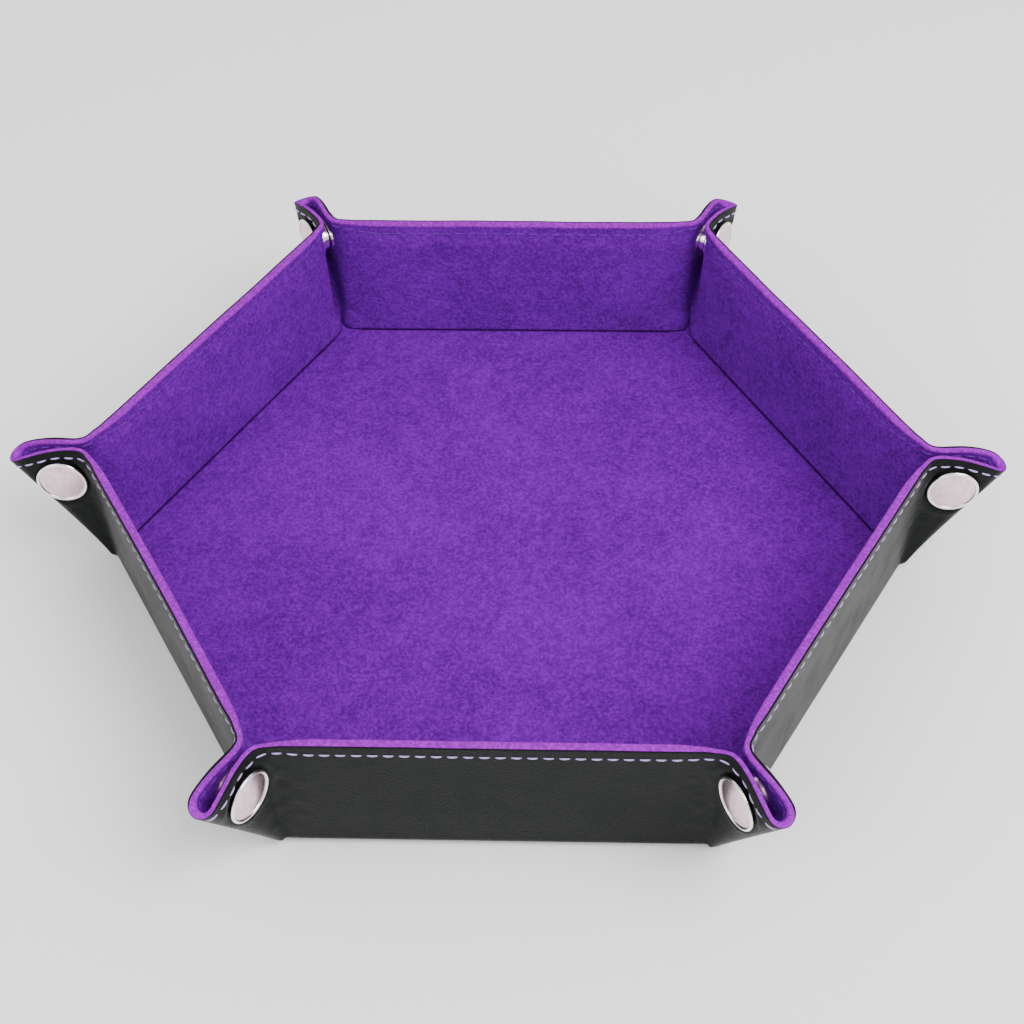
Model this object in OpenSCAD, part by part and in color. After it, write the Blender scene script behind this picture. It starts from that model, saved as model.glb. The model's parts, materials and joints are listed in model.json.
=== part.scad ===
// Folding hexagonal dice tray, in millimetres.
// One sheet of leather cover and padded lining folds up along a hexagon into six walls. The corner of the
// sheet between two walls is pinched into an ear, and a press stud holds the two halves of each ear together.
// The tray stands on z = 0 with its centre on the Z axis, one pair of ears on the X axis and +Z up.
// Every piece is drawn as it lies in the opened sheet, and then folded to its place in the standing tray.

/* [Tray] */
// Distance from the tray's centre to the fold at the foot of a wall
floor_apothem = 81.5; // [60:0.5:110]
// Height of the walls' top edge above the table
wall_height = 37; // [34:0.5:45]
// Outward lean of a standing wall, in degrees
wall_lean = 3; // [1:0.5:5]
// Radius of the opened sheet's rounded corners
corner_r = 26; // [18:0.5:30]
// Gap between the two lined faces of a closed ear
ear_gap = 3.2; // [3.2:0.1:4.5]

/* [Layers] */
// Thickness of the leather cover
leather_t = 0.9; // [0.6:0.1:1.2]
// Thickness of the lining over the floor and the walls, with its boards inside
lining_t = 2; // [1.8:0.1:2.6]
// Thickness of the lining in the ears, where it has no board
ear_lining_t = 0.8; // [0.6:0.1:1]
// Thickness of the stiffening boards
board_t = 1.2; // [0.8:0.1:1.5]

/* [Boards] */
// Distance from a board's edge to the fold beside it
board_fold_margin = 2.5; // [1.5:0.1:5]
// Distance from a wall board to the sheet's stitched edge
board_edge_margin = 5.5; // [4:0.5:8]
// Distance from a wall board's end to the crease of the ear
board_end_margin = 6; // [2:0.5:10]
// How much is clipped off each corner of the base board
board_clip = 6; // [3:0.5:10]

/* [Press studs] */
// Diameter of a cap
cap_d = 12; // [10:0.1:12.5]
// Height of a cap's dome above the leather
cap_rise = 1.7; // [1.4:0.1:2.2]
// Diameter of the post behind a cap
post_d = 3; // [2.6:0.1:3.2]
// Diameter of the flange of the socket and of the stud
flange_d = 10; // [9:0.1:11]
// Distance from a stud's centre to the crease of its ear
snap_across = 7; // [6.6:0.1:7.4]
// Distance from a stud's centre to the sheet's edge, along the crease
snap_below_edge = 8.3; // [8:0.1:9]

/* [Hidden] */
// Sheet and folds
sheet_t = leather_t + lining_t;
ear_t = leather_t + ear_lining_t;
wall_fold = 90 - wall_lean;                             // a wall's turn from flat to standing
wall_len = (wall_height - sheet_t) / sin(wall_fold);    // from the foot of a wall to its top edge
half_side = floor_apothem * tan(30);
crease_tilt = atan(tan(30) * sin(wall_lean));           // of an ear's crease from square to the wall's foot
ear_fold = acos(sin(30) * cos(wall_lean));              // an ear half's turn from flat to closed
crease_back = (ear_gap / 2 + ear_t) / sin(ear_fold) - sheet_t / tan(ear_fold);
crease_foot = half_side - crease_back / cos(crease_tilt);
corner_centre = [(floor_apothem + wall_len - corner_r) * tan(30), wall_len - corner_r];
slit = 0.15;            // each side of a fold or crease, so that neighbours never rub
ear_foot = 0.6;         // an ear half starts this far above the foot, at its crease
ear_split_foot = 4;     // and this far from the floor's corner, at the middle of the ear
board_clearance = 0.2;  // round each board in the lining's pocket
far = 200;              // reaches past the sheet's edge

// Press stud, measured from the face that it is riveted to
post_clearance = 0.1;
cap_edge_r = 0.45;      // the rolled edge of a cap
socket_h = 2.4;
socket_top_d = 8.4;
socket_floor = 0.4;     // of metal behind the socket's mouth
socket_mouth_d = 5.4;
stud_flange_t = 0.6;
stud_head_r = 2.1;
stud_h = 2.6;
snap_pos = [snap_across, wall_len - snap_below_edge];

// Directions of the outward normals of the walls, and of the corners, are 60 degrees apart
WALLS = ["rear_right", "rear", "rear_left", "front_left", "front", "front_right"];
CORNERS = ["right", "rear_right", "rear_left", "left", "front_left", "front_right"];
WALL_LAYERS = ["leather", "board", "lining"];
EAR_PIECES = ["socket_side_leather", "socket_side_lining", "snap_socket",
              "stud_side_leather", "stud_side_lining", "snap_stud"];

// ---- Places in the standing tray ----

// Wall w of the opened sheet: X along its foot, Y outward and z = 0 on the lining's face
module stand_wall(w) {
    rotate(60 * w - 60)
        translate([0, floor_apothem, sheet_t])
            rotate([wall_fold, 0, 0])
                children();
}

// Half an ear, at the +X end of wall w, or at its -X end when mirrored:
// Y along its crease, X away from it and z = 0 on the leather's face
module stand_ear(w, mirrored) {
    stand_wall(w)
        mirror_x(mirrored)
            translate([crease_foot, 0, -sheet_t])
                rotate(-crease_tilt)
                    rotate([0, ear_fold, 0])
                        children();
}

module mirror_x(mirrored) {
    if (mirrored) mirror([1, 0, 0]) children();
    else children();
}

// ---- Outlines in the opened sheet ----

function crease_x(y) = crease_foot + y * tan(crease_tilt);

// A hexagon with corners on the X axis, each of them clipped
module clipped_hexagon(apothem, clip) {
    intersection() {
        circle(r = apothem / cos(30), $fn = 6);
        rotate(30) circle(r = (apothem / cos(30) - clip) / cos(30), $fn = 6);
    }
}

module wall_outline() {
    foot = crease_x(slit) - slit;
    top = crease_x(wall_len) - slit;
    polygon([[-foot, slit], [foot, slit], [top, wall_len], [-top, wall_len]]);
}

// Narrows towards the foot as the wall does
module wall_board_outline(grow) {
    low = board_fold_margin - grow;
    high = wall_len - board_edge_margin + grow;
    foot = crease_x(low) - board_end_margin + grow;
    top = crease_x(high) - board_end_margin + grow;
    polygon([[-foot, low], [foot, low], [top, high], [-top, high]]);
}

// Half an ear, in its own frame: between its crease and the middle of the ear, inside the rounded corner
module ear_outline() {
    middle = 30 - crease_tilt;
    along = [sin(middle), cos(middle)];
    split = crease_back * [1, tan(crease_tilt)] - [slit / cos(middle), 0];
    intersection() {
        polygon([[slit, ear_foot], split + ear_split_foot * along, split + far * along, [slit, far]]);
        rotate(crease_tilt) translate([-crease_foot, 0]) {
            translate(corner_centre) circle(r = corner_r, $fn = 180);
            square([corner_centre.x, wall_len]);
        }
    }
}

module ear_layer(low, high) {
    translate([0, 0, low])
        difference() {
            linear_extrude(high - low) ear_outline();
            translate([snap_pos.x, snap_pos.y, -1])
                cylinder(d = post_d + 2 * post_clearance, h = high - low + 2, $fn = 48);
        }
}

// ---- Floor ----

module base_leather() {
    color("#2b2e2f")
        linear_extrude(leather_t)
            clipped_hexagon(floor_apothem - slit, 0.5);
}

module base_board() {
    color("#b59a73")
        translate([0, 0, leather_t])
            linear_extrude(board_t)
                clipped_hexagon(floor_apothem - board_fold_margin, board_clip);
}

module base_lining() {
    color("#7a2cc0")
        translate([0, 0, leather_t])
            difference() {
                linear_extrude(lining_t) clipped_hexagon(floor_apothem - slit, 0.5);
                translate([0, 0, -1])
                    linear_extrude(board_t + 1)
                        clipped_hexagon(floor_apothem - board_fold_margin + board_clearance, board_clip);
            }
}

// ---- Walls ----

module wall_leather(w) {
    color("#2b2e2f")
        stand_wall(w)
            translate([0, 0, -sheet_t])
                linear_extrude(leather_t)
                    wall_outline();
}

module wall_board(w) {
    color("#b59a73")
        stand_wall(w)
            translate([0, 0, -lining_t])
                linear_extrude(board_t)
                    wall_board_outline(0);
}

module wall_lining(w) {
    color("#7a2cc0")
        stand_wall(w)
            translate([0, 0, -lining_t])
                difference() {
                    linear_extrude(lining_t) wall_outline();
                    translate([0, 0, -1]) linear_extrude(board_t + 1) wall_board_outline(board_clearance);
                }
}

// ---- Ears ----

module ear_leather(w, mirrored) {
    color("#2b2e2f") stand_ear(w, mirrored) ear_layer(0, leather_t);
}

module ear_lining(w, mirrored) {
    color("#7a2cc0") stand_ear(w, mirrored) ear_layer(leather_t, ear_t);
}

// ---- Press studs ----

// A domed cap with a rolled edge on the leather, and its post through the sheet
module cap() {
    dome_r_base = cap_d / 2 - cap_edge_r;
    dome_h = cap_rise - cap_edge_r;
    dome_r = (pow(dome_r_base, 2) + pow(dome_h, 2)) / (2 * dome_h);
    rotate([180, 0, 0])
        rotate_extrude($fn = 96) {
            translate([cap_d / 2 - cap_edge_r, cap_edge_r]) circle(r = cap_edge_r, $fn = 32);
            square([dome_r_base, cap_edge_r]);
            intersection() {
                translate([0, cap_rise - dome_r]) circle(r = dome_r, $fn = 360);
                square([dome_r_base, cap_rise]);
            }
        }
    translate([0, 0, -cap_edge_r])
        cylinder(d = post_d, h = cap_edge_r + ear_t + socket_floor, $fn = 48);
}

// The half of the press stud with a mouth
module socket() {
    mouth_r = socket_mouth_d / 2;
    hole_r = post_d / 2 + post_clearance;
    rotate_extrude($fn = 96)
        polygon([
            [hole_r, 0], [flange_d / 2, 0], [flange_d / 2, 0.5], [socket_top_d / 2, 0.9],
            [socket_top_d / 2, socket_h - 0.4], [socket_top_d / 2 - 0.4, socket_h], [mouth_r, socket_h],
            [mouth_r, socket_floor], [hole_r, socket_floor]
        ]);
}

// The half of the press stud with a round head, hollow where the post is riveted over
module stud() {
    hole_r = post_d / 2 + post_clearance;
    difference() {
        union() {
            cylinder(d = flange_d, h = stud_flange_t, $fn = 96);
            translate([0, 0, stud_h - stud_head_r]) sphere(r = stud_head_r, $fn = 64);
        }
        translate([0, 0, -5]) cylinder(r = hole_r, h = 5 + 2 * socket_floor, $fn = 48);
        translate([0, 0, -5]) cylinder(d = flange_d, h = 5, $fn = 48);
    }
}

// A cap with its post on the leather, and a socket or a stud on the lining
module snap_half(w, mirrored) {
    color("silver")
        stand_ear(w, mirrored)
            translate([snap_pos.x, snap_pos.y, 0]) {
                cap();
                translate([0, 0, ear_t]) {
                    if (mirrored) stud();
                    else socket();
                }
            }
}

base_leather();
base_board();
base_lining();

for (w = [0:5]) {
    wall_leather(w);
    wall_board(w);
    wall_lining(w);
}

// The socket side of corner c is on wall c, and its stud side is on the wall before it
for (c = [0:5]) {
    before = (c + 5) % 6;
    ear_leather(c, false);
    ear_lining(c, false);
    snap_half(c, false);
    ear_leather(before, true);
    ear_lining(before, true);
    snap_half(before, true);
}
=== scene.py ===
"""Visual model of a folding hexagonal dice tray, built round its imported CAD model.

The tray is one opened sheet of leather cover and lining. Its walls and ears are drawn on that flat sheet and
then folded by place(), which knows the soft bend into each ear and the rounded nose in the middle of an ear.
Flat places are (u, v) on a wall: u along its foot and v outward from it, in millimetres. depth is measured
from the leather's outer face towards the lining's face.
"""

import json
from math import atan2, cos, hypot, pi, radians, sin, tan

import bmesh
import bpy
import numpy as np
from mathutils import Matrix, Vector, noise


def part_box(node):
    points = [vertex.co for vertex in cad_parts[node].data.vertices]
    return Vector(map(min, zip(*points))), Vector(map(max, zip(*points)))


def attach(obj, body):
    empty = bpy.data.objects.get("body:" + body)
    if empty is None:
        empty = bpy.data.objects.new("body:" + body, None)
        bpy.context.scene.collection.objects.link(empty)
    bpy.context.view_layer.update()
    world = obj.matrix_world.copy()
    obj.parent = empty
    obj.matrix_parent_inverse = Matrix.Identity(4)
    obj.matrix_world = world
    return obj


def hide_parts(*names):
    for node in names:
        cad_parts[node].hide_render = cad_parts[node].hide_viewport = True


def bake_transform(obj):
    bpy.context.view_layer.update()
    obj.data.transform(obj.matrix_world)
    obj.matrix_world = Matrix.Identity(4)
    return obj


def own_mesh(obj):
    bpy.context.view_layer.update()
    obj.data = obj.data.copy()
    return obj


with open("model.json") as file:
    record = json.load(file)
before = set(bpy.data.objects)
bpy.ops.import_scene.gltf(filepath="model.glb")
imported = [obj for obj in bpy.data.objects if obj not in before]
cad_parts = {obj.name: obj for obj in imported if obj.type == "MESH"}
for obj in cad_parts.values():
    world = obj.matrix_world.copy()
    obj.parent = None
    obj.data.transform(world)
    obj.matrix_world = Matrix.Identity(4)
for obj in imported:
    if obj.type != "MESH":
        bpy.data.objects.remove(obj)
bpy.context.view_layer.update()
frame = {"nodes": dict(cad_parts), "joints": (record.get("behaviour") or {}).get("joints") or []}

MM = 0.001
WALLS = ["rear_right", "rear", "rear_left", "front_left", "front", "front_right"]
CORNERS = ["right", "rear_right", "rear_left", "left", "front_left", "front_right"]
SIDES = {"socket": 1, "stud": -1}  # which end of its wall each half of an ear is on


def turn(axis, angle):
    return np.array(Matrix.Rotation(angle, 3, axis))


# ---- Sizes read from the frame, in millimetres and radians ----

joints = {j["name"]: j for j in frame["joints"]}


def node_points(name):
    return np.array([v.co for v in frame["nodes"][name].data.vertices]) / MM


lead = joints["front_wall_fold"]
APOTHEM = hypot(*lead["pos_m"][:2]) / MM
SHEET_T = lead["pos_m"][2] / MM
WALL_FOLD = radians(lead["range_deg"][1])
WALL_LEN = (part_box("front_wall_lining")[1].z / MM - SHEET_T) / sin(WALL_FOLD)
HALF_SIDE = APOTHEM * tan(pi / 6)


def stand(w, points, fold=WALL_FOLD):
    """Points of wall w's flat frame, folded up with it."""
    folded = np.asarray(points) @ turn("X", fold).T + [0, APOTHEM, SHEET_T]
    return folded @ turn("Z", radians(60 * w - 60)).T


def unstand(w, points):
    """Points of wall w's flat frame, from where they stand."""
    turned = np.asarray(points) @ turn("Z", radians(60 * w - 60))
    return (turned - [0, APOTHEM, SHEET_T]) @ turn("X", WALL_FOLD)


crease = joints["right_ear_socket_side_fold"]
EAR_FOLD = radians(crease["range_deg"][1])
CREASE_FOOT = unstand(0, np.array(crease["pos_m"]) / MM)[0]
crease_way = -(np.array(crease["axis"]) @ turn("Z", radians(-60))) @ turn("X", WALL_FOLD)
CREASE_TILT = atan2(crease_way[0], crease_way[1])
HALF_EAR = abs(crease["pos_m"][1]) / MM  # from the leather's face to the middle of a closed ear


def to_crease(points):
    """Points of a wall's flat frame, in the frame of its crease at the +u end."""
    return (np.asarray(points) - [CREASE_FOOT, 0, -SHEET_T]) @ turn("Z", CREASE_TILT).T


def from_crease(points):
    return np.asarray(points) @ turn("Z", CREASE_TILT) + [CREASE_FOOT, 0, -SHEET_T]


def ear_frame(node):
    return to_crease(unstand(0, node_points(node))) @ turn("Y", EAR_FOLD)


ear = ear_frame("right_ear_socket_side_lining")
EAR_T = ear[:, 2].max()
snap = ear_frame("right_ear_snap_socket")
SNAP_X, SNAP_Y = ((snap.max(0) + snap.min(0)) / 2)[:2]
CAP_R = (snap.max(0) - snap.min(0))[1] / 2
opened = from_crease(ear)[:, :2] + [0, APOTHEM]
CORNER_R = ((APOTHEM + WALL_LEN) / cos(pi / 6) - np.linalg.norm(opened, axis=1).max()) / (1 / cos(pi / 6) - 1)
CORNER_C = np.array([(APOTHEM + WALL_LEN - CORNER_R) * tan(pi / 6), WALL_LEN - CORNER_R])
board = unstand(0, node_points("rear_right_wall_board"))
BOARD_LOW, BOARD_HIGH = board[:, 1].min(), board[:, 1].max()
BOARD_FACE = SHEET_T + board[:, 2].max()
BOARD_END = -to_crease(board)[:, 0].max()
BASE_BOARD_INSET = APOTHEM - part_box("base_board")[1].y / MM

# ---- Shape of the folded sheet ----

LEATHER_T = 0.42  # of leather that shows at the edge
SLIT = 0.04  # between the floor and a wall, so that they don't rub
FOLD_ROWS = [(0.0, -0.1), (0.2, -0.05), (0.6, 0.0)]  # distance from a fold, and the lining's change of depth
POCKET, POCKET_GAP = 1.3, 0.07  # room round a board, and above it
FLOOR_POCKET = 0.75  # from the floor's top down to its pocket
BEND_FOOT, BEND_TOP = 1.0, 4.6  # half width of the bend into an ear, at its foot and at the edge
NOSE, NOSE_SHARE = 4.3, 0.45  # width of the nose that closes each ear, and its share of a narrow ear
THIN_FROM, THIN_TO = -10.0, 0.5  # where the lining thins towards the ear, across the crease
WALL_PRESSED, EAR_PRESSED = 0.6, 0.15  # how far the stitches press the lining down along the edge
RIM_R = 0.5  # rounding of the lining's edge
STITCH_PITCH, STITCH_LENGTH, THREAD_R = 3.3, 2.3, 0.21
STITCH_WALL, STITCH_EAR = 2.7, 1.8  # distance of the stitches from the edge
LEAN = 1.15  # how far each ear half leans towards the other above the press stud
FLOOR_WAVE, WALL_WAVE, EDGE_WAVE = 0.22, 0.3, 0.14  # unevenness of the floor, of a wall and of the cut edge
WRINKLE = 0.17  # depth of the wrinkles in the bend beside a cap


def smooth(x, low, high):
    t = np.clip((np.asarray(x, float) - low) / (high - low), 0, 1)
    return t * t * (3 - 2 * t)


def crease_u(v):
    return CREASE_FOOT + v * tan(CREASE_TILT)


def middle_u(v):
    """The middle line of an ear, where the sheet turns back on itself."""
    return HALF_SIDE + v * tan(pi / 6)


def outside(u, v, inset=0.0):
    """How far (u, v) is outside the sheet's edge, or outside a line inset from it."""
    round_part = np.hypot(u - CORNER_C[0], v - CORNER_C[1]) - (CORNER_R - inset)
    return np.where(u > CORNER_C[0], round_part, v - (WALL_LEN - inset))


def middle_x(y):
    """The middle line of an ear in the crease's frame."""
    middle = pi / 6 - CREASE_TILT
    back = (HALF_SIDE - CREASE_FOOT) * cos(CREASE_TILT)
    return back + (y - back * tan(CREASE_TILT)) * tan(middle)


def nose_width(y):
    wide = NOSE_SHARE * np.maximum(middle_x(y), 0.1)
    return NOSE * wide / (NOSE**4 + wide**4) ** 0.25


def bend_width(y):
    return BEND_FOOT + (BEND_TOP - BEND_FOOT) * np.clip(y / WALL_LEN, 0, 1.1) ** 1.6


def bend_curve(samples=257):
    """A bend from direction (1, 0) to EAR_FOLD below it, whose curvature eases in and out: its samples, and
    the turn and the place at each."""
    t = np.linspace(0, 1, samples)
    phi = EAR_FOLD * smooth(t, 0, 1)
    step = np.stack([np.cos(phi), -np.sin(phi)], 1)
    path = np.concatenate([[[0, 0]], np.cumsum((step[1:] + step[:-1]) / 2, 0)]) / (samples - 1)
    return t, phi, path * 2 * cos(EAR_FOLD / 2) / np.linalg.norm(path[-1])


BEND_T, BEND_PHI, BEND_PATH = bend_curve()


def lining_depth(u, v):
    """Depth of the lining's face: it thins from the wall's full thickness to the ear's, except at the foot,
    and the stitches press it down along the edge."""
    x = to_crease(np.stack([u, v, 0 * u], -1))[..., 0]
    in_ear = smooth(x, THIN_FROM, THIN_TO) * smooth(v, 0.3, 7)
    pressed = smooth(outside(u, v), -6.0, -2.0)
    by = WALL_PRESSED + (EAR_PRESSED - WALL_PRESSED) * in_ear
    return SHEET_T + (EAR_T - SHEET_T) * in_ear - by * pressed


def leather_depth(u, v):
    """Depth of the leather's back, which thins towards the middle of an ear."""
    return LEATHER_T * (1 - 0.8 * smooth(u, seam_u(v), middle_u(v)))


def close_up(x, y):
    """How far an ear half leans towards the other at the edge beside its neck, above the press stud."""
    along = smooth(x, -2, 2) * (1 - smooth(x, 3, middle_x(y) - NOSE))
    return LEAN * along * smooth(y, SNAP_Y + 0.6 * CAP_R, WALL_LEN)


def place(u, v, depth):
    """Standing place, in the wall's frame, of flat (u, v) at a depth in the sheet, at the wall's +u end."""
    u, v, depth = np.broadcast_arrays(*(np.asarray(a, float) for a in (u, v, depth)))
    flat = to_crease(np.stack([u, v, 0 * u], -1))
    x, y = flat[..., 0], flat[..., 1]
    # the bend across the crease
    wide = bend_width(y)
    t = np.clip((x + wide) / (2 * wide), 0, 1)
    phi = np.interp(t, BEND_T, BEND_PHI)
    path = [np.interp(t, BEND_T, BEND_PATH[:, k]) * wide for k in (0, 1)]
    beyond = np.maximum(x - wide, 0)
    px = np.where(x < -wide, x, path[0] - wide + beyond * cos(EAR_FOLD))
    pz = path[1] - beyond * sin(EAR_FOLD)
    lift = depth + close_up(x, y)
    bent = np.stack([px + lift * np.sin(phi), y, pz + lift * np.cos(phi)], -1)
    # the nose in the middle of the ear
    width, end = nose_width(y), middle_x(y)
    s = np.clip(1 - (end - x) / width, 0, 1)
    rise = 1 - np.sqrt(1 - s * s)
    inner = depth / cos(pi / 6) * np.minimum(1, 0.6 * width / EAR_T)
    ear_x = end - inner - (width - inner) * (1 - s)
    ear_z = depth + (HALF_EAR - depth) * rise
    nose = np.stack([ear_x, y, ear_z], -1) @ turn("Y", EAR_FOLD).T
    return from_crease(np.where((x > end - width)[..., None], nose, bent))


def to_world(points, w, side):
    """Metres in the row frame for points of wall w's frame, mirrored for the half ear at its -u end."""
    return stand(w, np.asarray(points) * [side, 1, 1]) * MM


def sheet_place(u, v, w, side):
    """Place of (u, v) in the whole opened sheet, in metres: every texture lies in it."""
    flat = np.stack([u * side, v, 0 * u], -1)
    return stand(w, flat, 0)[..., :2] * MM


# ---- Meshes ----


SHARP = radians(50)  # edges turned further than this stay sharp


def make(name, points, faces, body=None, slot=None, material=None, sheet=None, rim=None):
    """A mesh object with its attributes: sheet is the place in the opened sheet, and rim goes from 1 at the
    cut edge through 0 to -1 in the folds round the floor, where the velvet gets painted shade."""
    mesh = bpy.data.meshes.new(name)
    mesh.from_pydata(np.asarray(points).reshape(-1, 3).tolist(), [], faces)
    for key, kind, values in (("sheet", "FLOAT_VECTOR", sheet), ("rim", "FLOAT", rim)):
        if values is not None:
            data = mesh.attributes.new(key, kind, "POINT").data
            data.foreach_set("vector" if key == "sheet" else "value", np.ravel(values).astype("f"))
    made = bmesh.new()
    made.from_mesh(mesh)
    bmesh.ops.recalc_face_normals(made, faces=made.faces)
    for face in made.faces:
        face.smooth = True
    for edge in made.edges:
        edge.smooth = len(edge.link_faces) != 2 or edge.calc_face_angle(0) < SHARP
    made.to_mesh(mesh)
    made.free()
    piece = bpy.data.objects.new(name, mesh)
    bpy.context.scene.collection.objects.link(piece)
    mesh.materials.append(material)
    if body:
        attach(piece, body)
    return piece


def loft_faces(columns, rows):
    """Faces of closed sections side by side, with a ladder of quads across the first and the last."""
    faces = []
    for i in range(columns - 1):
        a, b = i * rows, (i + 1) * rows
        faces += [(a + j, a + (j + 1) % rows, b + (j + 1) % rows, b + j) for j in range(rows)]
    for a in (0, (columns - 1) * rows):
        half = rows // 2
        faces += [(a + j, a + j + 1, a + rows - 2 - j, a + rows - 1 - j) for j in range(half - 1)]
    return faces


def uneven(sheet, size, seed=0.0):
    """Smooth noise from about -1 to 1 over the opened sheet; size is in millimetres."""
    flat = np.asarray(sheet).reshape(-1, sheet.shape[-1])
    scale = 1 / (size * MM)
    values = [noise.noise(Vector((p[0] * scale, p[1] * scale, seed))) for p in flat]
    return np.array(values).reshape(sheet.shape[:-1])


def top_v(line, inset=0.0):
    """The v at which each column meets the edge, or a line inset from it."""
    low = 0 * line(0.0)
    high = low + WALL_LEN + 1
    for _ in range(40):
        mid = (low + high) / 2
        out = outside(line(mid), mid, inset) > 0
        low, high = np.where(out, low, mid), np.where(out, mid, high)
    return (low + high) / 2


def drift(u, v, flat):
    """Slow unevenness of a standing wall, the same for all its layers."""
    x = to_crease(np.stack([u, v, 0 * u], -1))[..., 0]
    return WALL_WAVE * uneven(flat, 38, 5) * smooth(v, 0, 12) * (1 - smooth(x, -9, -3))


def cap_ring(x, y):
    """Leather pressed in round a cap, and swollen beyond it: rises and widths in millimetres."""
    r = np.hypot(x - SNAP_X, y - SNAP_Y) - CAP_R
    return 0.36 * np.exp(-((r / 0.75) ** 2)) - 0.26 * np.exp(-(((r - 1.8) / 1.1) ** 2))


def leather_relief(u, v, flat):
    """Depth of the leather's outer face: a dent round the cap, and wrinkles in the bend beside it."""
    x, y = crease_xy(u, v)
    bend = np.exp(-(((x + 2.0) / 5.0) ** 2)) * smooth(y, 1, 8) * (1 - smooth(y, WALL_LEN - 5, WALL_LEN - 2))
    folds = uneven(flat, 3.4, 11) + 0.6 * uneven(flat, 1.9, 17)
    still = 1 - smooth(x, middle_x(y) - 3.2, middle_x(y) - 0.6)
    return (cap_ring(x, y) + WRINKLE * bend * folds) * still


# ---- Columns of the opened sheet: u of each one as a function of v ----


def seam_u(v):
    """The line beside an ear's middle where its nose begins."""
    return middle_u(v) - nose_width(v) / cos(CREASE_TILT)


WIDE_STEP, EAR_COLUMNS = 1.5, 23
FINE = 12.0  # closer columns this near to a crease


def panel_lines(fine_step):
    """Columns of half a wall, closer near its crease, and of its ear as far as the nose."""
    near = 1 - FINE / CREASE_FOOT
    wide = np.linspace(0, near, round(CREASE_FOOT * near / WIDE_STEP), endpoint=False)
    close = np.linspace(near, 1, round(FINE / fine_step), endpoint=False)
    wall = np.concatenate([wide, close])
    across = np.linspace(0, 1, EAR_COLUMNS)
    k = np.concatenate([wall, np.ones(len(across))])[:, None]
    share = np.concatenate([np.zeros(len(wall)), across])[:, None]
    return lambda v: k * crease_u(v) + share * (seam_u(v) - crease_u(v))


def nose_lines(count=15):
    """Columns of an ear's nose, closer towards the ear's middle."""
    s = np.sin(np.linspace(0, pi / 2, count))[:, None]
    return lambda v: middle_u(v) - (middle_u(v) - seam_u(v)) * (1 - s)


# ---- The sheet's layers ----

FOOT_START, FOOT_TOP = 0.5, 0.6  # the leather's bend under a wall: how far inside and above the fold it ends
TOE_REACH = 2.6  # and it stops this far short of each crease, where the toe of the ear begins
CORNER_CUT = 2.0  # off each corner of the floor, where the toe begins too
TOE_HANDLE = 0.39  # of the curve from the floor to an ear's foot, as a share of the shortest chord


def crease_xy(u, v):
    flat = to_crease(np.stack([u, v, 0 * u], -1))
    return flat[..., 0], flat[..., 1]


def lining_back(u, v):
    """The lining lies over a wall's board, and reaches back to the leather round it."""
    x, _ = crease_xy(u, v)
    over = (x < POCKET - BOARD_END) & (v > BOARD_LOW - POCKET) & (v < BOARD_HIGH + POCKET)
    return np.where(over, BOARD_FACE + POCKET_GAP, leather_depth(u, v))


def round_edge(r, back_r, count=3):
    """A cut edge between a rounded front corner and a rounded back one: each row's distance past the edge's
    line, its share of the way from front to back, and an offset in depth."""
    front = [(r * sin(a) - r, 0.0, r * cos(a) - r) for a in np.linspace(0, pi / 2, 5)[1:]]
    flat = [(0.0, s, back_r * s - r * (1 - s)) for s in np.linspace(0, 1, count + 2)[1:-1]]
    back = [(back_r * cos(a) - back_r, 1.0, back_r * (1 - sin(a))) for a in (0, pi / 4, pi / 2)]
    return front + flat + back


LINING = {
    "step": 1.2,
    "front": lambda u, v, flat: lining_depth(u, v),
    "back": lining_back,
    "edge_r": RIM_R,
    "edge": round_edge(RIM_R, 0.12),
    "foot": FOLD_ROWS,
}
LEATHER = {
    "step": 0.6,
    "front": leather_relief,
    "back": leather_depth,
    "edge_r": 0.14,
    "edge": [(-0.05, 0.0, 0.02), (0.0, 0.5, 0.0)],
    "foot": [(0.0, 0.0)],
}


def sheet_piece(name, line, low, layer, w, side, **looks):
    """A closed piece of one layer of the sheet, lofted from a section above v = low at each column."""
    top = top_v(line)
    top = top + EDGE_WAVE * uneven(sheet_place(line(top), top, w, side), 14, 3)
    first, last = low + layer["foot"][-1][0], top - layer["edge_r"]
    rows = np.linspace(0, 1 - 0.3 / WALL_LEN, round((WALL_LEN - low) / layer["step"]))
    rows = np.append(rows, 1)[None, :]
    foot = [low + f[0] + 0 * top for f in layer["foot"][:-1]]
    face = np.concatenate(foot + [first + (last - first) * rows], 1)
    edge = np.concatenate([top + e[0] for e in layer["edge"]], 1)
    v = np.concatenate([face, edge, face[:, ::-1]], 1)
    u = line(v)
    flat = sheet_place(u, v, w, side)
    n, back = face.shape[1], v.shape[1] - face.shape[1]
    depth = np.empty_like(v)
    depth[:, :n] = layer["front"](u[:, :n], v[:, :n], flat[:, :n])
    depth[:, back:] = layer["back"](u[:, back:], v[:, back:])
    for i, (_, across, offset) in enumerate(layer["edge"]):
        depth[:, n + i] = depth[:, n - 1] * (1 - across) + depth[:, back] * across + offset
    for i, (_, offset) in enumerate(layer["foot"]):
        depth[:, i] += offset
    rim = np.zeros_like(v)
    rim[:, n - 1 : back + 1] = 1
    # rim -1 marks the fold rows at the foot, where the velvet gets painted shade
    rim[:, : len(layer["foot"]) - 1] = -1
    points = to_world(place(u, v, depth + drift(u, v, flat)), w, side)
    where = np.concatenate([flat, depth[..., None] * MM], -1)
    return make(name, points, loft_faces(*v.shape), sheet=where, rim=rim, **looks)


# ---- Stitches ----


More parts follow.
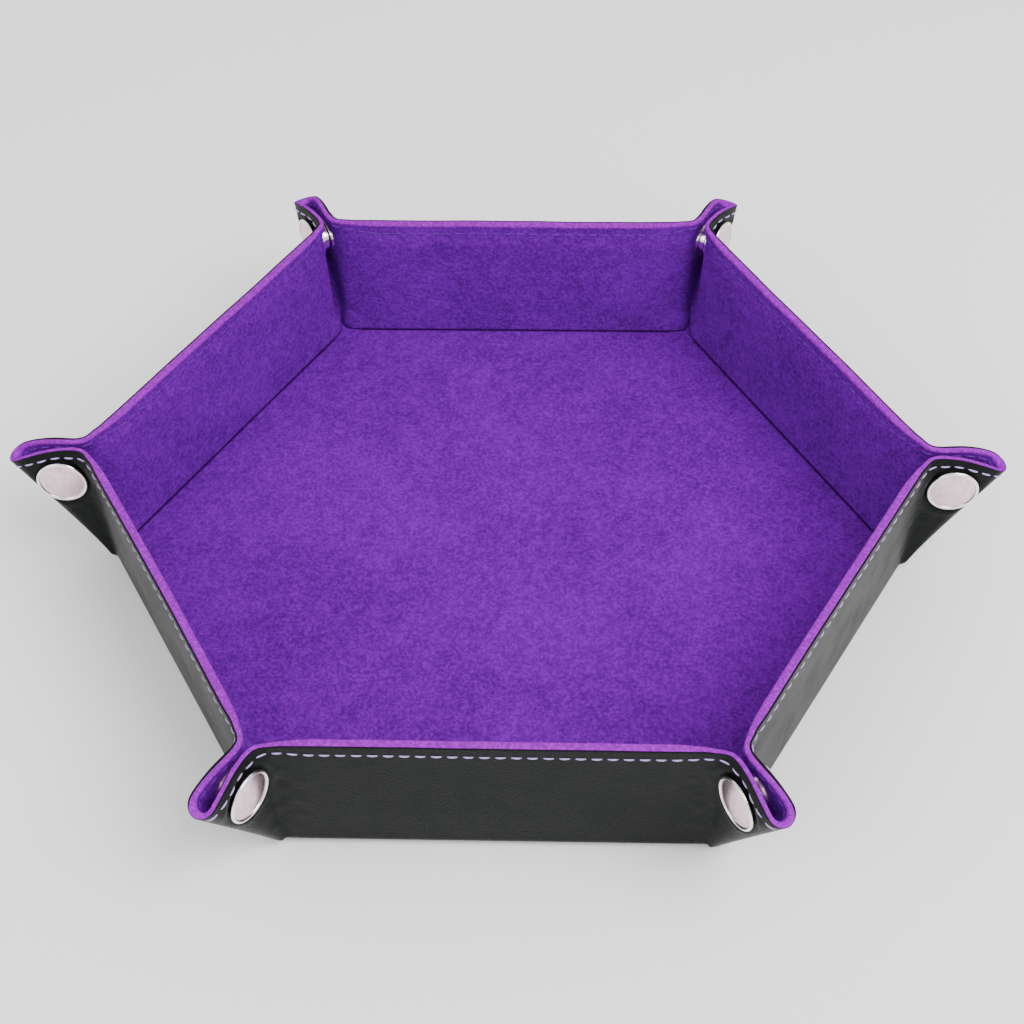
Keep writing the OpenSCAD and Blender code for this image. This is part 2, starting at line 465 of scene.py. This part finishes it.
def stitch_line(along):
    """Flat place of the stitches at a distance along them from the middle of a wall."""
    inset = STITCH_WALL + (STITCH_EAR - STITCH_WALL) * smooth(along, CREASE_FOOT - 9, CREASE_FOOT + 2)
    turned = np.maximum(along - CORNER_C[0], 0) / (CORNER_R - STITCH_EAR)
    r = CORNER_R - inset
    round_u, round_v = CORNER_C[0] + r * np.sin(turned), CORNER_C[1] + r * np.cos(turned)
    return np.where(turned > 0, round_u, along), np.where(turned > 0, round_v, WALL_LEN - inset)


STITCH_PATH = CORNER_C[0] + (CORNER_R - STITCH_EAR) * pi / 6
STITCH_COUNT = round(STITCH_PATH / STITCH_PITCH)


def stitch_starts(in_nose):
    """Where the dashes begin, of half a wall and its ear, or of the ear's nose."""
    starts = (np.arange(STITCH_COUNT) + 0.5) * STITCH_PATH / STITCH_COUNT - STITCH_LENGTH / 2
    u, v = stitch_line(starts + STITCH_LENGTH / 2)
    return starts[(u > seam_u(v)) == in_nose]


def dash(start, on_lining, w, side, rings=9, around=8):
    """One stitch: a thread that rises out of the sheet and dips into it again. Gives its rings, and where
    each point is along and round it."""
    along = start + np.linspace(0, STITCH_LENGTH, rings)
    u, v = stitch_line(along)
    flat = sheet_place(u, v, w, side)
    arch = np.sin(np.linspace(0, pi, rings)) ** 0.6
    proud = THREAD_R * (arch - 0.6)
    depth = lining_depth(u, v) + proud if on_lining else leather_relief(u, v, flat) - proud
    depth = depth + drift(u, v, flat)
    path = place(u, v, depth)
    ahead = np.gradient(path, axis=0)
    ahead /= np.linalg.norm(ahead, axis=1, keepdims=True)
    out = place(u, v, depth + 0.5) - path
    out -= (out * ahead).sum(1, keepdims=True) * ahead
    out /= np.linalg.norm(out, axis=1, keepdims=True)
    ring = np.arange(around) * 2 * pi / around
    section = np.cos(ring)[:, None] * np.cross(ahead, out)[:, None] * 1.15
    section = section + np.sin(ring)[:, None] * out[:, None] * 0.85
    tube = path[:, None] + THREAD_R * (0.5 + 0.5 * arch[:, None, None]) * section
    where = np.stack(np.broadcast_arrays(along[:, None], ring[None, :], start), -1) * MM
    return to_world(tube, w, side), where


def thread(name, starts, on_lining, w, side, **looks):
    """Dashes along the edge, on one face of the sheet."""
    made = [dash(start, on_lining, w, side) for start in starts]
    rings, around = made[0][0].shape[:2]
    faces = []
    for first in range(0, len(made) * rings * around, rings * around):
        for i in range(rings - 1):
            a = first + i * around
            b = a + around
            faces += [(a + j, a + (j + 1) % around, b + (j + 1) % around, b + j) for j in range(around)]
        end = first + (rings - 1) * around
        faces += [tuple(range(first, first + around)), tuple(range(end, end + around))]
    points, where = (np.concatenate([m[i].reshape(-1, 3) for m in made]) for i in (0, 1))
    return make(name, points, faces, sheet=where, **looks)


# ---- Floor, and the bends round it ----


def hexagon_rows(apothem, count):
    """Triangular lattice over a hexagon with two corners on the X axis: its points, faces and border."""
    points, index = [], {}
    for a in range(-count, count + 1):
        for b in range(-count, count + 1):
            if abs(a + b) <= count:
                index[a, b] = len(points)
                points.append(((a + b / 2) / count, b * sin(pi / 3) / count))
    faces = []
    for (a, b), i in index.items():
        for ahead in (((a + 1, b), (a, b + 1)), ((a, b + 1), (a - 1, b + 1))):
            if all(key in index for key in ahead):
                faces.append((i, index[ahead[0]], index[ahead[1]]))
    rim = [(count, 0), (0, count), (-count, count), (-count, 0), (0, -count), (count, -count), (count, 0)]
    border = []
    for (a0, b0), (a1, b1) in zip(rim, rim[1:]):
        for i in range(count):
            border.append(index[a0 + (a1 - a0) * i // count, b0 + (b1 - b0) * i // count])
    return np.array(points) * apothem / cos(pi / 6), faces, border


def cut_corners(points):
    """Points over the floor, drawn back to a line across each of its corners."""
    ways = np.radians(60 * np.arange(6))
    reach = (points[..., :2] @ np.stack([np.cos(ways), np.sin(ways)])).max(-1, keepdims=True)
    share = np.minimum(1, (APOTHEM / cos(pi / 6) - CORNER_CUT) / np.maximum(reach, 1))
    return np.concatenate([points[..., :2] * share, points[..., 2:]], -1)


def floor_piece(name, top, bottom, edge, count, **looks):
    """A hexagonal slab: top and bottom give heights at (x, y), and edge the rows from the top face's border
    down, each an inset from the fold and a height."""
    upper, faces, border = hexagon_rows(APOTHEM - edge[0][0], count)
    lower, _, _ = hexagon_rows(APOTHEM - edge[-1][0], count)
    sides = [upper[border] * (APOTHEM - e[0]) / (APOTHEM - edge[0][0]) for e in edge[1:-1]]
    n, m = len(upper), len(border)
    points = [np.column_stack([upper, top(upper)])]
    points += [np.column_stack([p, np.full(m, e[1])]) for p, e in zip(sides, edge[1:-1])]
    points.append(np.column_stack([lower, bottom(lower)]))
    base = n + m * len(sides)
    loops = [list(range(n + m * i, n + m * (i + 1))) for i in range(len(sides))]
    loops = [border] + loops + [[base + i for i in border]]
    all_faces = list(faces) + [tuple(base + i for i in f[::-1]) for f in faces]
    for above, below in zip(loops, loops[1:]):
        all_faces += [(above[i], below[i], below[(i + 1) % m], above[(i + 1) % m]) for i in range(m)]
    points = cut_corners(np.concatenate(points)) * MM
    # the floor's side rows get rim -1, where the velvet gets painted shade
    rim = np.concatenate([np.zeros(n), np.full(m * len(sides), -1), np.zeros(len(lower))])
    return make(name, points, all_faces, body="base", sheet=points, rim=rim, **looks)


def in_hexagon(points, inset):
    """How far inside the floor's folds the points are, less inset."""
    ways = np.radians(30 + 60 * np.arange(6))
    return APOTHEM - inset - np.max(points @ np.stack([np.cos(ways), np.sin(ways)]), axis=1)


def foot_leather(w, **looks):
    """The leather's bend under a wall, from the floor to FOOT_TOP up the wall."""
    turned = np.concatenate([[0], np.linspace(0, WALL_FOLD, 11), [WALL_FOLD]])
    ahead = np.array([-FOOT_START] + [0] * 11 + [FOOT_TOP])
    sections = []
    for r in (SHEET_T, SHEET_T - LEATHER_T):
        out = APOTHEM + r * np.sin(turned) + ahead * np.cos(turned)
        sections.append(np.stack([out, SHEET_T - r * np.cos(turned) + ahead * np.sin(turned)], -1))
    section = np.concatenate([sections[0], sections[1][::-1]])
    reach = CREASE_FOOT - TOE_REACH
    u = np.linspace(-reach, reach, 60)[:, None]
    to_wall = turn("Z", radians(60 * w - 60)).T
    points = np.stack(np.broadcast_arrays(u, section[:, 0], section[:, 1]), -1) @ to_wall * MM
    around = np.concatenate([turned, turned[::-1]]) - WALL_FOLD
    where = sheet_place(*np.broadcast_arrays(u, around * SHEET_T), w, 1)
    where = np.concatenate([where, 0 * where[..., :1]], -1)
    piece = make(f"{WALLS[w]}_foot_leather", points, loft_faces(len(u), len(section)), sheet=where,
                 rim=0 * where[..., 0], **looks)
    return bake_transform(piece)


def toe_columns(v):
    """u of the columns round an ear's foot, from the wall to the ear's middle, at height v."""
    wall = crease_u(v) - TOE_REACH * np.linspace(1, 0, 6)[:-1]
    neck = crease_u(v) + (seam_u(v) - crease_u(v)) * np.linspace(0, 1, 5)[:-1]
    nose = middle_u(v) - (middle_u(v) - seam_u(v)) * (1 - np.sin(np.linspace(0, pi / 2, 9)))
    return np.concatenate([wall, neck, nose])


def toe_rows(c, depth, floor_depth, inset):
    """Round the foot of ear c, from one wall to the other, in millimetres: a row on the floor, inset from the
    fold's line, the ear's foot, the row at FOOT_TOP above it, and the way out from the floor there."""
    strips = []
    for name in SIDES:
        w, side, _, _ = half_ear(c, name)
        rows = []
        for v in (0.0, FOOT_TOP):
            u = toe_columns(v)
            rows.append(to_world(place(u, v, depth(u, v + 0 * u)), w, side) / MM)
        foot, above = rows
        u = toe_columns(0.0)
        flat = np.stack([u * side, 0 * u - inset, 0 * u + floor_depth - SHEET_T], -1)
        floor = cut_corners(stand(w, flat, 0))
        x, _ = crease_xy(u, 0 * u)
        share = smooth(x, -TOE_REACH, middle_x(0.0))[:, None]
        from_wall, from_ear = (turn("Z", radians(angle))[:, 0] for angle in (60 * w + 30, 60 * c))
        out = (1 - share) * from_wall + share * from_ear
        strips.append([floor, foot, above, out / np.linalg.norm(out, axis=1, keepdims=True)])
    return [np.concatenate([a, b[-2::-1]]) for a, b in zip(*strips)]


def toe_piece(c, name, outer, thickness, height, **looks):
    """A closed patch from its outer face, columns by rows; height is not used."""
    across = np.cross(np.gradient(outer, axis=0), np.gradient(outer, axis=1))
    across /= np.maximum(np.linalg.norm(across, axis=2, keepdims=True), 1e-9)
    outward = np.sign((across * (outer - [0, 0, 12])).sum(2, keepdims=True))
    inner = outer - outward * across * thickness
    points = np.concatenate([outer, inner[:, ::-1]], 1) * MM
    piece = make(name, points, loft_faces(*points.shape[:2]), body="base", sheet=points,
                 rim=np.zeros(points.shape[:2]), **looks)
    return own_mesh(piece)


def toe_leather(c, **looks):
    """Leather round the foot of ear c, curved from under the floor up to the ear."""
    floor, foot, above, out = toe_rows(c, lambda u, v: 0 * u, 0.0, FOOT_START)
    up = (above - foot) / np.linalg.norm(above - foot, axis=1, keepdims=True)
    chord = np.linalg.norm(foot - floor, axis=1, keepdims=True)
    handle = TOE_HANDLE * chord.min() ** 2 / chord
    t = np.linspace(0, 1, 10)[:, None, None]
    a, b = floor + out * handle, foot - up * handle
    curve = (1 - t) ** 3 * floor + 3 * (1 - t) ** 2 * t * a + 3 * (1 - t) * t**2 * b + t**3 * foot
    outer = np.concatenate([curve, above[None]]).transpose(1, 0, 2)
    return toe_piece(c, f"{CORNERS[c]}_toe_leather", outer, 0.4, 0.25, **looks)


def toe_lining(c, **looks):
    """Velvet in the corner of the floor, sagging a little between the floor and the foot of ear c."""
    floor, foot, _, _ = toe_rows(c, lining_depth, SHEET_T - 0.3, 0.0)
    t = np.linspace(-0.3, 1.1, 6)[:, None, None]
    outer = (floor + (foot - floor) * t - [0, 0, 0.1]).transpose(1, 0, 2)
    outer[..., 2] -= 0.25 * np.sin(np.linspace(0, pi, 6))
    return toe_piece(c, f"{CORNERS[c]}_toe_lining", outer, 0.5, 0.9, **looks)


# ---- Build ----


def half_ear(c, side_name):
    """One half of ear c: its wall, the end of the wall that it is on, and its two bodies."""
    side = SIDES[side_name]
    w = c if side > 0 else (c + 5) % 6
    return w, side, f"{WALLS[w]}_wall", f"{CORNERS[c]}_ear_{side_name}_side"


def ear_normal(w, side, depth):
    """Direction from the leather to the lining of a closed ear half, and a point at a depth in it."""
    snap_flat = from_crease([SNAP_X, SNAP_Y, 0])
    here, further = (to_world(place(*snap_flat[:2], d), w, side) for d in (depth, depth + 1))
    return (further - here) / MM, here


# ---- Materials: patterns lie in the opened sheet, so they run on from piece to piece ----


def srgb(code):
    """Linear colour of a #rrggbb code."""
    parts = [int(code[i : i + 2], 16) / 255 for i in (1, 3, 5)]
    return [*((p / 12.92 if p <= 0.04045 else ((p + 0.055) / 1.055) ** 2.4) for p in parts), 1.0]


class Look:
    """A Principled material with a few node helpers."""

    def __init__(self, name, attribute="sheet", **settings):
        self.material = bpy.data.materials.new(name)
        self.material.use_nodes = True
        self.tree = self.material.node_tree
        self.shader = self.tree.nodes["Principled BSDF"]
        for key, value in settings.items():
            self.shader.inputs[key.replace("_", " ")].default_value = value
        if attribute:
            self.at = self.node("ShaderNodeAttribute", attribute_name=attribute).outputs["Vector"]
        else:
            self.at = self.node("ShaderNodeTexCoord").outputs["Object"]

    def node(self, kind, inputs=(), **settings):
        """A node, with values or links for its inputs."""
        node = self.tree.nodes.new(kind)
        for key, value in settings.items():
            setattr(node, key, value)
        for key, value in dict(inputs).items():
            self.put(node.inputs[key], value)
        return node

    def put(self, socket, value):
        if isinstance(value, bpy.types.NodeSocket):
            self.tree.links.new(value, socket)
        else:
            socket.default_value = value

    def noise(self, size, detail, roughness=0.5, distortion=0.0):
        """Noise whose features are about size millimetres across."""
        inputs = {"Vector": self.at, "Scale": 1 / (size * MM), "Detail": detail, "Roughness": roughness,
                  "Distortion": distortion}
        return self.node("ShaderNodeTexNoise", inputs).outputs["Fac"]

    def ramp(self, value, low, high, to_low=0.0, to_high=1.0):
        """Smooth step of value from low to high, scaled to run from to_low to to_high."""
        inputs = {"Value": value, "From Min": low, "From Max": high, "To Min": to_low, "To Max": to_high}
        return self.node("ShaderNodeMapRange", inputs, interpolation_type="SMOOTHSTEP").outputs["Result"]

    def mix(self, share, a, b):
        """Colour a at share 0, and colour b at share 1."""
        node = self.node("ShaderNodeMix", data_type="RGBA")
        self.put(node.inputs["Factor"], share)
        for socket, value in ((6, a), (7, b)):  # a Mix node's A and B for colours
            self.put(node.inputs[socket], value)
        return node.outputs[2]

    def math(self, operation, a, b):
        return self.node("ShaderNodeMath", {0: a, 1: b}, operation=operation).outputs[0]

    def vector_math(self, operation, *values):
        return self.node("ShaderNodeVectorMath", dict(enumerate(values)), operation=operation)

    def bump(self, height, depth, strength=1.0, after=None):
        """Relief of depth millimetres."""
        inputs = {"Height": height, "Distance": depth * MM, "Strength": strength}
        if after:
            inputs["Normal"] = after
        return self.node("ShaderNodeBump", inputs).outputs["Normal"]

    def finish(self, **links):
        """The material, with its shader's inputs linked."""
        for key, value in links.items():
            self.put(self.shader.inputs[key.replace("_", " ")], value)
        return self.material


NAP, GRAIN = 0.8, 0.75  # size of the velvet's speckles and of the leather's cells, in millimetres
STRANDS = 1600.0  # of a thread, for each metre along it
CAP_FLAT, CAP_EDGE = CAP_R - 1.1, CAP_R - 0.6  # the cap's flat ends between these, and its rolled edge begins


def velvet_material():
    """Purple velvet: a short nap in patches that lie this way and that, paler where it is cut, and with
    painted shade, darker towards #1e0030, in the folds round the floor."""
    look = Look("velvet", Roughness=0.9, Sheen_Weight=0.12, Sheen_Roughness=0.4, Specular_IOR_Level=0.03)
    look.shader.inputs["Sheen Tint"].default_value = srgb("#b020e0")
    brushed = look.ramp(look.noise(30, 3, 0.6, 0.6), 0.3, 0.7)
    patchy = look.ramp(look.noise(3.5, 4, 0.7, 0.3), 0.3, 0.72)
    nap = look.ramp(look.noise(NAP, 3, 0.75), 0.36, 0.66)
    tone = look.math("ADD", look.math("MULTIPLY", brushed, 0.2), look.math("MULTIPLY", patchy, 0.25))
    tone = look.math("ADD", tone, look.math("MULTIPLY", nap, 0.55))
    colour = look.mix(tone, srgb("#43016a"), srgb("#7a02b0"))
    rim = look.node("ShaderNodeAttribute", attribute_name="rim").outputs["Fac"]
    cut = look.mix(nap, srgb("#7a049e"), srgb("#9c0cc0"))
    colour = look.mix(look.ramp(rim, 0.35, 0.8), colour, cut)
    # painted shade: over the fold rows, where rim is below 0, the velvet is mixed up to 0.55 of the way to
    # #1e0030
    colour = look.mix(look.ramp(rim, -0.9, -0.05, 0.55, 0.0), colour, srgb("#1e0030"))
    relief = look.bump(nap, 0.12, 0.8, after=look.bump(look.noise(1.6, 3, 0.6), 0.12, 0.5))
    return look.finish(Base_Color=colour, Normal=relief)


def leather_material():
    """Black imitation leather: a fine grain of cells with darker grooves between them."""
    look = Look("leather", Specular_IOR_Level=0.1, Sheen_Weight=0.12, Sheen_Roughness=0.25)
    inputs = {"Vector": look.at, "Scale": 1 / (GRAIN * MM), "Randomness": 1.0}
    cells = look.node("ShaderNodeTexVoronoi", inputs, feature="DISTANCE_TO_EDGE").outputs["Distance"]
    grain = look.ramp(cells, 0.0, 0.28)
    fine = look.noise(0.35, 3, 0.6)
    slow = look.ramp(look.noise(9, 4, 0.6), 0.3, 0.75)
    colour = look.mix(slow, srgb("#0a0c0c"), srgb("#141717"))
    colour = look.mix(look.math("MULTIPLY", look.math("SUBTRACT", 1.0, grain), 0.35), colour, srgb("#040505"))
    rough = look.math("ADD", look.ramp(slow, 0, 1, 0.4, 0.5), look.math("MULTIPLY", fine, 0.12))
    relief = look.bump(grain, 0.05, 0.8, after=look.bump(fine, 0.03, 0.6))
    relief = look.bump(look.noise(2.4, 3, 0.55), 0.08, 0.6, after=relief)
    return look.finish(Base_Color=colour, Roughness=rough, Normal=relief)


def thread_material(name, dark, light, sheen):
    """Twisted thread."""
    look = Look(name, Roughness=0.6, Sheen_Weight=sheen, Sheen_Roughness=0.4, Specular_IOR_Level=0.2)
    inputs = {"Vector": look.at, "Scale": STRANDS, "Distortion": 1.5, "Detail": 1.0}
    strands = look.node("ShaderNodeTexWave", inputs, bands_direction="DIAGONAL").outputs["Fac"]
    colour = look.mix(strands, srgb(dark), srgb(light))
    return look.finish(Base_Color=colour, Normal=look.bump(strands, 0.08, 0.7))


def metal_material(centre, axis):
    """Nickel plate: rougher and painted a darker pinkish colour over the flat of the cap; smoother, and
    painted paler as a painted highlight, on its rolled edge and on the stud's other parts."""
    look = Look("press_stud_nickel", attribute=None, Metallic=1.0, Specular_IOR_Level=0.5)
    away = look.vector_math("SUBTRACT", look.at, centre).outputs["Vector"]
    across = look.vector_math("CROSS_PRODUCT", away, axis).outputs["Vector"]
    radius = look.vector_math("LENGTH", across).outputs["Value"]
    height = look.vector_math("DOT_PRODUCT", away, axis).outputs["Value"]
    flat = look.math("MULTIPLY", look.ramp(radius, CAP_FLAT * MM, CAP_EDGE * MM, 1.0, 0.0),
                     look.ramp(height, -0.2 * MM, 0.0, 1.0, 0.0))
    worn = look.ramp(look.noise(1.3, 4, 0.65), 0.35, 0.75)
    rough = look.math("ADD", look.math("MULTIPLY", worn, 0.09), look.ramp(flat, 0.0, 1.0, 0.14, 0.27))
    cap_flat_colour = look.mix(worn, srgb("#eed0de"), srgb("#d8b8c8"))
    # painted highlight: the rolled edge and the stud's other parts are painted the pale #fbeff4, paler than
    # the flat of the cap
    colour = look.mix(flat, srgb("#fbeff4"), cap_flat_colour)
    relief = look.bump(look.noise(0.6, 3, 0.6), 0.008, 0.5)
    return look.finish(Base_Color=colour, Roughness=rough, Normal=relief)


def board_material():
    look = Look("greyboard", attribute=None, Roughness=0.9)
    fibres = look.noise(0.9, 4, 0.7)
    colour = look.mix(fibres, srgb("#8d7a5e"), srgb("#b9a686"))
    return look.finish(Base_Color=colour, Normal=look.bump(fibres, 0.05))


def studio_floor_material():
    look = Look("studio_floor", attribute=None, Roughness=0.9, Specular_IOR_Level=0.1)
    return look.finish(Base_Color=srgb("#fcfcfc"))


VELVET, BLACK_LEATHER, GREYBOARD = velvet_material(), leather_material(), board_material()
THREADS = {
    "lining": thread_material("thread_inside", "#40067a", "#8c2cc4", 0.05),
    "leather": thread_material("thread_outside", "#9a6cd0", "#e4ccff", 0.3),
}

for node_name, item in frame["nodes"].items():
    if "_snap_" in node_name:
        corner_name, side_name = node_name.split("_ear_snap_")
        w, side, _, _ = half_ear(CORNERS.index(corner_name), side_name)
        normal, centre = ear_normal(w, side, 0)
        item.data.materials.clear()
        item.data.materials.append(metal_material(tuple(centre), tuple(normal)))
    elif node_name.endswith("_board"):
        item.data.materials.clear()
        item.data.materials.append(GREYBOARD)

as_velvet = {"slot": "velvet_lining", "material": VELVET}
as_leather = {"slot": "cover_leather", "material": BLACK_LEATHER}

# ---- The floor ----

lining_edge = [(SLIT + inset, SHEET_T + down) for inset, down in FOLD_ROWS[::-1]] + [(SLIT, LEATHER_T)] * 2


def floor_top(p):
    """Height of the padded floor, which is level along its folds."""
    inside = in_hexagon(p, SLIT + FOLD_ROWS[-1][0])
    return SHEET_T + FLOOR_WAVE * uneven(p * MM, 34, 7) * smooth(inside, 0, 14)


def floor_back(p):
    """Height of the lining's underside, which lies over the base board."""
    over = in_hexagon(p, BASE_BOARD_INSET - POCKET) > 0
    return np.where(over, SHEET_T - FLOOR_POCKET, LEATHER_T)


floor_lining = floor_piece("floor_lining", floor_top, floor_back, lining_edge, 58, **as_velvet)
leather_edge = [(FOOT_START, LEATHER_T), (FOOT_START, LEATHER_T), (FOOT_START, 0.0)]
floor_leather = floor_piece("floor_leather", lambda p: LEATHER_T + 0 * p[:, 0], lambda p: 0 * p[:, 0],
                            leather_edge, 14, **as_leather)
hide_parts("base_lining")
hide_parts("base_leather")
feet = [foot_leather(w, **as_leather) for w in range(6)]
toes = [toe_leather(c, **as_leather) for c in range(6)]
toe_linings = [toe_lining(c, **as_velvet) for c in range(6)]

# ---- Walls and ears, one half wall with its half ear at a time ----


def flat_area(line, low):
    """Area of the opened sheet between the first and the last column of line, above low."""
    top = top_v(line)
    v = low + (top - low) * np.linspace(0, 1, 40)[None, :]
    width = np.diff(line(v), axis=0)
    height = np.diff(v, axis=1)
    cells = (width[:, 1:] + width[:, :-1]) / 2 * (height[1:] + height[:-1]) / 2
    return cells.sum() * MM**2


LINING_STEP, LEATHER_STEP = 0.7, 0.5  # between columns near a crease
# For each layer: its foot's height, its step between columns, its shape, its thread's face and its looks
LAYERS = [
    ("lining", 0.0, LINING_STEP, LINING, "inside", as_velvet),
    ("leather", FOOT_TOP, LEATHER_STEP, LEATHER, "outside", as_leather),
]

for c in range(6):
    for side_name in SIDES:
        w, side, wall_body, ear_body = half_ear(c, side_name)
        half, key = (w, side), f"{CORNERS[c]}_{side_name}"

        for layer, low, fine_step, shape, face, looks in LAYERS:
            panel = sheet_piece(f"{key}_half_{layer}", panel_lines(fine_step), low, shape, *half, **looks)
            nose = sheet_piece(f"{key}_nose_{layer}", nose_lines(), low, shape, *half, **looks)
            sewn = (layer == "lining", *half)
            in_thread = {"material": THREADS[layer]}
            seam = thread(f"{key}_half_thread_{face}", stitch_starts(False), *sewn, **in_thread)
            nose_seam = thread(f"{key}_nose_thread_{face}", stitch_starts(True), *sewn, **in_thread)

            stands_for = [f"{ear_body}_{layer}"] + ([f"{wall_body}_{layer}"] if side > 0 else [])
            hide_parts(*stands_for)
            for piece in (panel, seam):
                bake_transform(piece)
            normal, anchor = ear_normal(*half, EAR_T if layer == "lining" else 0)
            for piece in (nose, nose_seam):
                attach(piece, ear_body)
                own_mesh(piece)
            flat_area(panel_lines(LINING_STEP), low)

# ---- Stage ----

STAGE, STAGE_GAP = 3.0, 0.0002  # half the side of the studio's floor, and how far it is below the tray (m)
stage = bpy.data.meshes.new("studio_floor")
corners = [(-STAGE, -STAGE, 0), (STAGE, -STAGE, 0), (STAGE, STAGE, 0), (-STAGE, STAGE, 0)]
stage.from_pydata(corners, [], [(0, 1, 2, 3)])
stage.materials.append(studio_floor_material())
ground = bpy.data.objects.new("studio_floor", stage)
bpy.context.scene.collection.objects.link(ground)
ground.location.z = -STAGE_GAP

SKY = 1.12  # strength of the soft light from all round
world = bpy.data.worlds.new("studio")
bpy.context.scene.world = world
world.use_nodes = True
sky = world.node_tree.nodes["Background"].inputs
sky["Color"].default_value, sky["Strength"].default_value = (1, 1, 1, 1), SKY

SOFTBOX_SIDE, SOFTBOX_AIM = 0.6, (0, 0, 0.02)


def softbox(name, place_at, power):
    """A square lamp, with its place in metres and its power in watts."""
    lamp = bpy.data.lights.new(name, "AREA")
    lamp.shape, lamp.size, lamp.energy = "SQUARE", SOFTBOX_SIDE, power
    item = bpy.data.objects.new(name, lamp)
    bpy.context.scene.collection.objects.link(item)
    item.location = place_at
    item.rotation_euler = (Vector(SOFTBOX_AIM) - Vector(place_at)).to_track_quat("-Z", "Y").to_euler()


softbox("key", (0.5, -0.3, 0.75), 10)
softbox("fill", (-0.6, -0.5, 0.6), 3)

# The camera looks down at the tray from in front; its place and angle were fitted to the photograph
CAMERA_AT = Vector((0.0132, -0.3056, 0.3349))
CAMERA_WAY = Vector((-0.0265, 0.6912, -0.7222)).normalized()
CAMERA_ROLL = radians(-0.98)
CAMERA_SENSOR, CAMERA_LENS = 36.0, 64.75  # in millimetres
camera = bpy.data.objects.new("camera", bpy.data.cameras.new("camera"))
bpy.context.scene.collection.objects.link(camera)
camera.data.sensor_width, camera.data.lens = CAMERA_SENSOR, CAMERA_LENS
right = CAMERA_WAY.cross(Vector((0, 0, 1))).normalized()
right = Matrix.Rotation(CAMERA_ROLL, 3, -CAMERA_WAY) @ right
up = right.cross(CAMERA_WAY)
camera.matrix_world = Matrix.Translation(CAMERA_AT) @ Matrix([right, up, -CAMERA_WAY]).transposed().to_4x4()
bpy.context.scene.camera = camera
